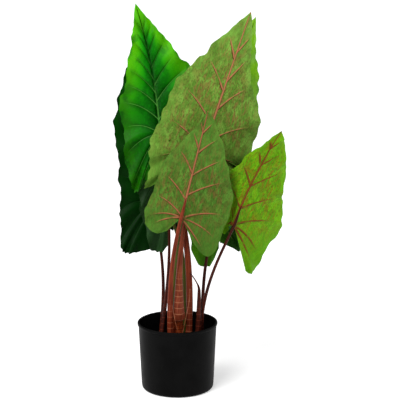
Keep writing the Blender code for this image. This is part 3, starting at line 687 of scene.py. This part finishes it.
def trunk(finish):
    """The short trunk: a bar with the raised scars of old leaves round it."""
    place = np.linspace(0, 1, 90)
    line = through(TRUNK_PATH, place)
    radii = through(np.array(TRUNK_RADII)[:, None], place)[:, 0]
    line, radii = rounded_end(line, radii)
    angle = np.arange(TRUNK_SIDES) * 2 * np.pi / TRUNK_SIDES
    height = line[:, 2:]
    scar = np.cos(2 * np.pi * (height + 0.0015 * np.sin(angle + 0.7)) / SCAR_SPACING) ** 6
    relief = 0.0006 * scar + 0.0003 * np.sin(7 * angle + 300 * height)
    points, triangles, grain = bar(line, radii, TRUNK_SIDES, relief)
    made = add_piece("stem", points, triangles, (finish,), {"grain": grain})
    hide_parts("trunk")


def sheath(finish):
    """The dead sheath at the right, a bar that thins into a bent tendril."""
    place = np.linspace(0, 1, 110)
    line = through(SHEATH_PATH, place)
    radii = through(np.array(SHEATH_RADII)[:, None], place)[:, 0]
    line, radii = rounded_end(line, radii)
    points, triangles, grain = bar(line, radii, 24)
    made = add_piece("sheath_and_tendril", points, triangles, (finish,), {"grain": grain})
    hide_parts("sheath_right")


def sheath_edges(finish):
    """The pale edges of the split sheaths of the front and the tall stalk: two thin bars that run down the
    stalks and meet in front of the trunk, with a slight ripple along them."""
    for side, path in (("left", LEFT_EDGE), ("right", RIGHT_EDGE)):
        place = np.linspace(0, 1, 70)
        line = through(path, place)
        line[:, 1] += 0.0004 * np.sin(23 * place)
        radii = 0.0007 + 0.0002 * np.sin(31 * place + 1)
        line, radii = rounded_end(line, radii)
        points, triangles, grain = bar(line, radii, 10)
        add_piece("sheath_edge_" + side, points, triangles, (finish,), {"grain": grain})


def capped_rings(count, sides):
    """Point numbers of rings that close round, where the first and the last ring shrink to one point."""
    numbers = np.arange(count * sides).reshape(count, sides)
    numbers[0] = numbers[0, 0]
    numbers[-1] = numbers[-1, 0]
    return np.concatenate([numbers, numbers[:, :1]], 1)


def arc(centre, radius, start, end, steps):
    """Points of an arc, as (radius, height), between two angles in degrees."""
    angles = np.radians(np.linspace(start, end, steps + 1))
    return [(centre[0] + radius * math.cos(a), centre[1] + radius * math.sin(a)) for a in angles]


def pot_wall_radius(z):
    """The wall's outer radius at a height: it widens evenly from the base to the top."""
    return POT_BASE_RADIUS + (POT_TOP_RADIUS - POT_BASE_RADIUS) * z / POT_HEIGHT


def pot(finish):
    """The pot: its wall's outline, turned about Z, with closed discs for the underside and the floor inside."""
    rim_base = POT_HEIGHT - RIM_HEIGHT
    profile = [(0.0, 0.0)]
    profile += arc((pot_wall_radius(0) - POT_CORNER, POT_CORNER), POT_CORNER, -90, -3, 10)
    profile += [(pot_wall_radius(z), z) for z in np.linspace(0.012, rim_base - 0.0006, 14)]
    profile += arc((RIM_RADIUS - POT_BEAD, rim_base + POT_BEAD), POT_BEAD, -90, 0, 5)
    profile += arc((RIM_RADIUS - POT_BEAD, POT_HEIGHT - POT_BEAD), POT_BEAD, 0, 90, 6)
    inner = pot_wall_radius(POT_HEIGHT) - POT_WALL
    profile += arc((inner + POT_BEAD, POT_HEIGHT - POT_BEAD), POT_BEAD, 90, 180, 6)
    profile += [(pot_wall_radius(z) - POT_WALL, z) for z in (0.14, 0.12, 0.10, 0.07, 0.04, POT_CORNER)]
    profile += [(pot_wall_radius(0) - POT_CORNER, POT_FLOOR), (0.0, POT_FLOOR)]
    profile = np.array(profile)
    angle = np.arange(POT_SIDES) * 2 * np.pi / POT_SIDES
    radius, height = profile[:, 0][:, None], np.repeat(profile[:, 1][:, None], POT_SIDES, 1)
    points = np.stack([radius * np.cos(angle), radius * np.sin(angle), height], -1).reshape(-1, 3)
    kept, triangles = used_only(squares(capped_rings(len(profile), POT_SIDES)))
    made = add_piece("nursery_pot", points[kept], triangles, (finish,), sharp=35)
    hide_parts("pot")


def soil_height(x, y):
    """The soil's gentle unevenness, above and below its mean height."""
    return 0.002 * (0.6 * np.sin(61 * x + 1.3) * np.cos(47 * y) + 0.4 * np.sin(103 * y - 70 * x))


def soil(finish):
    """Peat in the pot: a disc on top of a plain block, lumpy by crossed sines."""
    draw = np.random.default_rng(11)
    outer = pot_wall_radius(SOIL_TOP) - POT_WALL - SOIL_GAP
    low = pot_wall_radius(SOIL_BOTTOM) - POT_WALL - SOIL_GAP
    ring = np.linspace(0, 1, 60) ** 0.8
    sides = 180
    angle = np.arange(sides) * 2 * np.pi / sides
    x = outer * ring[:, None] * np.cos(angle)
    y = outer * ring[:, None] * np.sin(angle)
    lumps = sum(
        size * np.sin(x * a + y * b + c) * np.sin(y * a - x * b + d)
        for (size, a, b), c, d in zip(LUMPS, *draw.uniform(0, 6, (2, 4)))
    )
    edge = SOIL_SINK * smoothstep((ring[:, None] - 0.9) / 0.1)
    z = SOIL_TOP - SOIL_SINK + soil_height(x, y) + lumps + edge
    top = np.stack([x, y, z], -1)
    side = np.stack([low * np.cos(angle), low * np.sin(angle), np.full(sides, SOIL_BOTTOM)], -1)
    bottom = np.stack([0 * angle, 0 * angle, np.full(sides, SOIL_BOTTOM)], -1)
    points = np.concatenate([top, side[None], bottom[None]]).reshape(-1, 3)
    kept, triangles = used_only(squares(capped_rings(len(points) // sides, sides))[:, ::-1])
    made = add_piece("peat", points[kept], triangles, (finish,))
    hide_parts("soil")


def add(tree, kind, links=None, **settings):
    """A node of this kind. links gives its sockets a number, a colour or another node's output."""
    made = tree.nodes.new("ShaderNode" + kind)
    for key, value in settings.items():
        setattr(made, key, value)
    for key, value in (links or {}).items():
        if isinstance(value, bpy.types.NodeSocket):
            tree.links.new(value, made.inputs[key])
        else:
            made.inputs[key].default_value = value
    return made


def colour(red, green, blue):
    """A colour socket's value: linear red, green and blue, and 1 for opaque."""
    return (red, green, blue, 1.0)


def value_of(tree, name):
    """A number that the mesh carries at every point."""
    return add(tree, "Attribute", attribute_name=name).outputs["Fac"]


def vector_of(tree, name):
    """Three numbers that the mesh carries at every point."""
    return add(tree, "Attribute", attribute_name=name).outputs["Vector"]


def band(tree, value, low, high, start=0.0, end=1.0):
    """start where value is low, end where it is high, smoothly between."""
    links = {"Value": value, "From Min": low, "From Max": high, "To Min": start, "To Max": end}
    made = add(tree, "MapRange", links, interpolation_type="SMOOTHSTEP")
    return made.outputs["Result"]


def blend(tree, share, first, second):
    """first where share is 0 and second where it is 1."""
    made = add(tree, "Mix", data_type="RGBA", blend_type="MIX")
    for socket, value in ((made.inputs[0], share), (made.inputs[6], first), (made.inputs[7], second)):
        if isinstance(value, bpy.types.NodeSocket):
            tree.links.new(value, socket)
        else:
            socket.default_value = value
    return made.outputs[2]


def product(tree, first, second, operation="MULTIPLY"):
    """Two numbers multiplied, or put together by another operation."""
    made = add(tree, "Math", {0: first, 1: second}, operation=operation)
    return made.outputs[0]


def rings_along(tree, along, spacing):
    """A wave along a bar, the cosine of a full turn for each spacing."""
    turn = product(tree, along, 2 * math.pi / spacing)
    return add(tree, "Math", {0: turn}, operation="COSINE").outputs[0]


def noise(tree, place, scale, detail=3.0, stretch=(1, 1, 1), twist=0.0):
    """Cloudy noise, 0 to 1, with scale patches a metre, drawn out by the stretch and swirled by the twist."""
    moved = add(tree, "Mapping", {"Vector": place, "Scale": stretch})
    links = {"Vector": moved.outputs[0], "Scale": scale, "Detail": detail, "Distortion": twist}
    return add(tree, "TexNoise", links).outputs[0]


def surface(name, roughness, specular):
    """A new material, its node tree and its shader."""
    made = bpy.data.materials.new(name)
    made.use_nodes = True
    shader = made.node_tree.nodes["Principled BSDF"]
    shader.inputs["Roughness"].default_value = roughness
    shader.inputs["Specular IOR Level"].default_value = specular
    return made, made.node_tree, shader


def finish_with(tree, shader, tint, height=None, strength=0.3, distance=0.001, roughness=None):
    """Links the colour, the bump and the roughness to the shader."""
    tree.links.new(tint, shader.inputs["Base Color"])
    if height is not None:
        bump = add(tree, "Bump", {"Height": height, "Strength": strength, "Distance": distance})
        tree.links.new(bump.outputs[0], shader.inputs["Normal"])
    if roughness is not None:
        tree.links.new(roughness, shader.inputs["Roughness"])


def underside(name, tints, mottle, margin=0.6, lit_from=0.13, painted_shade_right=0.0):
    """A leaf's under face: green with brown wisps along the leaf, dark specks and lighter patches, ribs that
    break up towards the margin with a pale crest and a painted shadow on the stalk's side, painted shade on the
    midrib's flanks and on the right half of some leaves, painted light towards the tip, and a brighter margin."""
    made, tree, shader = surface(name, 0.6, 0.05)
    green, brown, light, rib, rib_shadow_tint, shade = (colour(*tint) for tint in tints)
    flat = vector_of(tree, "flat")
    wisps = noise(tree, flat, 190, 5, (1, 0.26, 1), 0.9)
    clouds = noise(tree, flat, 34, 4, (1, 0.6, 1), 0.6)
    speck = noise(tree, flat, 430, 4, (1, 0.4, 1), 0.5)
    lights = noise(tree, flat, 75, 4, (1, 0.5, 1), 0.8)
    out = value_of(tree, "out")
    near = value_of(tree, "near")
    mid = value_of(tree, "mid")
    tint = blend(tree, band(tree, lights, 0.42, 0.64, 0.0, 0.8), green, light)
    share = product(tree, band(tree, wisps, 0.44, 0.58), band(tree, clouds, 0.34, 0.58, 0.20, 1.0))
    share = product(tree, share, band(tree, out, 0.45, 1.0, 1.0, 0.55))
    tint = blend(tree, product(tree, share, mottle), tint, brown)
    tint = blend(tree, band(tree, speck, 0.46, 0.66, 0.0, 0.60), tint, shade)
    rim = product(tree, band(tree, out, 0.74, 1.0, 0.0, margin), band(tree, clouds, 0.40, 0.58, 0.15, 1.0))
    tint = blend(tree, rim, tint, light)
    parts = add(tree, "SeparateXYZ", {0: flat})
    right, up = parts.outputs[0], parts.outputs[1]
    tint = blend(tree, band(tree, up, -0.07, 0.06, 0.65, 0.0), tint, green)
    # Painted shade: the right half darker.
    tint = blend(tree, band(tree, right, -0.01, 0.03, 0.0, painted_shade_right), tint, shade)
    # Painted light: the blade lighter from lit_from up towards the tip.
    tip = band(tree, up, lit_from, lit_from + 0.14, 0.0, 0.6)
    tint = blend(tree, product(tree, tip, band(tree, lights, 0.3, 0.6, 0.4, 1.0)), tint, light)
    fading = product(tree, band(tree, out, 0.50, 0.84, 1.0, 0.0), band(tree, lights, 0.34, 0.50, 0.35, 1.0))
    # Painted shadow: a dark band on each rib's side towards the stalk.
    foot = product(tree, fading, band(tree, value_of(tree, "rib_shadow"), 0.20, 0.75, 0.0, 0.95))
    tint = blend(tree, foot, tint, rib_shadow_tint)
    tint = blend(tree, product(tree, fading, band(tree, near, 0.25, 0.65, 0.0, 0.95)), tint, rib)
    # Painted shade on both flanks of the midrib, with its crest in the rib tint.
    tint = blend(tree, band(tree, mid, 0.04, 0.35, 0.0, 0.7), tint, shade)
    tint = blend(tree, band(tree, mid, 0.30, 0.70, 0.0, 0.95), tint, rib)
    height = product(tree, wisps, speck, "ADD")
    finish_with(tree, shader, tint, height, 0.6, 0.0012)
    return made


def upperside(name, tints, roughness=0.34, specular=0.12):
    """A leaf's upper face: dark by the midrib and the stalk, brighter between the veins, where a sheen on the
    swells is painted, and towards the tip and the margin, with fine pale veins that show most in the lower half."""
    made, tree, shader = surface(name, roughness, specular)
    deep, bright, edge, vein = (colour(*tint) for tint in tints)
    flat = vector_of(tree, "flat")
    out = value_of(tree, "out")
    quilt = value_of(tree, "quilt")
    clouds = noise(tree, flat, 30, 3, (1, 0.7, 1), 0.5)
    fine = noise(tree, flat, 200, 3)
    up = add(tree, "SeparateXYZ", {0: flat}).outputs[1]
    share = product(tree, band(tree, up, -0.10, 0.24, 0.22, 1.0), band(tree, clouds, 0.38, 0.58, 0.60, 1.0))
    # Painted sheen and shade: brighter on the swells between the veins, darker in the furrows along them.
    share = product(tree, share, band(tree, quilt, 0.05, 0.7, 0.40, 1.0))
    share = product(tree, share, band(tree, out, 0.02, 0.55, 0.22, 1.0))
    tint = blend(tree, share, deep, bright)
    rim = product(tree, band(tree, out, 0.30, 0.95), band(tree, clouds, 0.36, 0.58, 0.35, 1.0))
    tint = blend(tree, product(tree, rim, band(tree, up, 0.04, 0.22, 0.12, 1.0)), tint, edge)
    tint = blend(tree, band(tree, up, 0.21, 0.28, 0.0, 0.8), tint, edge)
    tint = blend(tree, band(tree, fine, 0.45, 0.75, 0.0, 0.25), tint, bright)
    thin = product(tree, band(tree, value_of(tree, "near"), 0.55, 0.98), band(tree, out, 0.70, 0.98, 0.55, 0.0))
    thin = product(tree, thin, band(tree, up, 0.06, 0.16, 1.0, 0.25))
    tint = blend(tree, thin, tint, vein)
    stroke = band(tree, value_of(tree, "mid"), 0.45, 0.9, 0.0, 0.5)
    tint = blend(tree, product(tree, stroke, band(tree, up, 0.05, 0.14, 1.0, 0.0)), tint, vein)
    tint = blend(tree, product(tree, stroke, band(tree, up, 0.05, 0.14, 0.0, 1.0)), tint, deep)
    net = add(tree, "TexVoronoi", {"Vector": flat, "Scale": 320.0}, feature="DISTANCE_TO_EDGE").outputs[0]
    height = product(tree, fine, band(tree, net, 0.0, 0.1, 0.35, 0.0), "SUBTRACT")
    finish_with(tree, shader, tint, height, 0.3, 0.0006)
    return made


def stem_finish(name, tints):
    """A stalk: streaks along it, and rings of a lighter tint near its foot."""
    made, tree, shader = surface(name, 0.42, 0.07)
    light, dark, ring = (colour(*tint) for tint in tints)
    grain = vector_of(tree, "grain")
    streaks = noise(tree, grain, 620, 3, (1, 1, 0.03))
    patches = noise(tree, grain, 60, 3, (1, 1, 0.35))
    along = add(tree, "SeparateXYZ", {0: grain}).outputs[2]
    tint = blend(tree, band(tree, streaks, 0.35, 0.65), dark, light)
    tint = blend(tree, band(tree, patches, 0.4, 0.7, 0.0, 0.6), tint, dark)
    wave = rings_along(tree, along, RING_SPACING)
    lines = product(tree, band(tree, wave, 0.86, 1.0), band(tree, along, 0.08, 0.17, 0.6, 0.0))
    tint = blend(tree, lines, tint, ring)
    finish_with(tree, shader, tint, streaks, 0.25, 0.0006)
    return made


def pot_finish():
    """Black satin plastic: nearly even, with faint rubbed patches and a very fine grain."""
    made, tree, shader = surface("pot black satin plastic", 0.42, 0.035)
    place = add(tree, "TexCoord").outputs["Object"]
    clouds = noise(tree, place, 28, 3)
    grain = noise(tree, place, 1400, 2)
    dark, pale = colour(0.0013, 0.0013, 0.0013), colour(0.0026, 0.0026, 0.0026)
    tint = blend(tree, band(tree, clouds, 0.3, 0.7), dark, pale)
    rough = band(tree, clouds, 0.3, 0.7, 0.40, 0.50)
    finish_with(tree, shader, tint, grain, 0.12, 0.0003, rough)
    return made


def peat_finish():
    """Near-black peat with brown fibres and crumbs."""
    made, tree, shader = surface("peat", 0.95, 0.15)
    place = add(tree, "TexCoord").outputs["Object"]
    crumbs = noise(tree, place, 260, 5)
    fibres = noise(tree, place, 120, 4, (1, 6, 1))
    black, brown = colour(0.006, 0.0045, 0.0035), colour(0.028, 0.019, 0.012)
    tint = blend(tree, band(tree, crumbs, 0.35, 0.7), black, brown)
    tint = blend(tree, band(tree, fibres, 0.62, 0.72, 0.0, 0.7), tint, colour(0.06, 0.036, 0.018))
    finish_with(tree, shader, tint, crumbs, 0.8, 0.002)
    return made


def trunk_finish():
    """Orange-brown trunk with darker rings."""
    made, tree, shader = surface("trunk orange brown", 0.5, 0.05)
    grain = vector_of(tree, "grain")
    rough = noise(tree, grain, 300, 4, (1, 1, 0.25))
    along = add(tree, "SeparateXYZ", {0: grain}).outputs[2]
    wave = rings_along(tree, along, SCAR_SPACING)
    tint = blend(tree, band(tree, rough, 0.35, 0.7), colour(0.11, 0.013, 0.003), colour(0.24, 0.040, 0.007))
    tint = blend(tree, band(tree, wave, 0.5, 1.0, 0.0, 0.6), tint, colour(0.05, 0.010, 0.005))
    finish_with(tree, shader, tint, rough, 0.5, 0.001)
    return made


def floor_finish():
    """White that glows a little, so that the floor stays white behind the plant."""
    made, tree, shader = surface("floor white", 0.9, 0.1)
    shader.inputs["Base Color"].default_value = colour(0.9, 0.9, 0.9)
    shader.inputs["Emission Color"].default_value = colour(1.0, 1.0, 1.0)
    shader.inputs["Emission Strength"].default_value = 0.42
    return made


def studio():
    """A white floor that runs out of sight, soft lights and the camera."""
    mesh = bpy.data.meshes.new("floor")
    corners = [(FLOOR_HALF * x, FLOOR_HALF * y, 0) for x, y in ((-1, -1), (1, -1), (1, 1), (-1, 1))]
    mesh.from_pydata(corners, [], [(0, 1, 2, 3)])
    mesh.materials.append(floor_finish())
    floor = bpy.data.objects.new("floor", mesh)
    bpy.context.scene.collection.objects.link(floor)

    def aimed(name, kind, place, target, energy, **settings):
        """A lamp at a place, turned to face its target."""
        lamp = bpy.data.lights.new(name, kind)
        lamp.energy = energy
        for key, value in settings.items():
            setattr(lamp, key, value)
        made = bpy.data.objects.new(name, lamp)
        made.location = place
        away = np.subtract(place, target)
        made.rotation_euler = (math.atan2(math.hypot(away[0], away[1]), away[2]), 0,
                               math.atan2(away[0], -away[1]))
        bpy.context.scene.collection.objects.link(made)

    aimed("key", "SUN", (-1.5, -2.0, 3.0), (0, 0, 0.4), 2.7, angle=math.radians(40))
    aimed("front fill", "AREA", (0.9, -2.6, 1.2), (0.05, 0, 0.5), 9, size=1.6)
    aimed("left card", "AREA", (-1.6, -0.4, 0.9), (0, 0, 0.5), 9, size=1.0)
    aimed("right card", "AREA", (1.7, -0.2, 0.8), (0, 0, 0.4), 9, size=1.0)

    world = bpy.data.worlds.new("studio")
    world.use_nodes = True
    world.node_tree.nodes["Background"].inputs[0].default_value = colour(1, 1, 1)
    world.node_tree.nodes["Background"].inputs[1].default_value = 0.25
    bpy.context.scene.world = world

    lens = bpy.data.cameras.new("camera")
    lens.lens = CAMERA_LENS
    lens.sensor_width = 36.0
    made = bpy.data.objects.new("camera", lens)
    made.location = CAMERA_PLACE
    made.rotation_euler = (math.radians(90 - CAMERA_TILT), 0, 0)
    bpy.context.scene.collection.objects.link(made)
    bpy.context.scene.camera = made
    bpy.context.scene.view_settings.view_transform = "Standard"


def plant():
    """Every piece of the plant and its pot."""
    unders = {name: underside("underside " + name, *values) for name, values in UNDERSIDES.items()}
    overs = {name: upperside("upper " + name, *values) for name, values in UPPERSIDES.items()}
    stems = {name: stem_finish("stalk " + name, tints) for name, tints in STEMS.items()}
    for index, leaf in enumerate(LEAVES):
        over, under, slot, stem = FINISHES[leaf.name]
        leaf_blade(leaf, index, overs[over], unders[under])
        stalk(leaf, index, stems[stem])
    trunk(trunk_finish())
    sheath(stems["maroon"])
    sheath_edges(stem_finish("sheath edge", EDGE_TINTS))
    pot(pot_finish())
    soil(peat_finish())


plant()
studio()

bpy.context.view_layer.update()
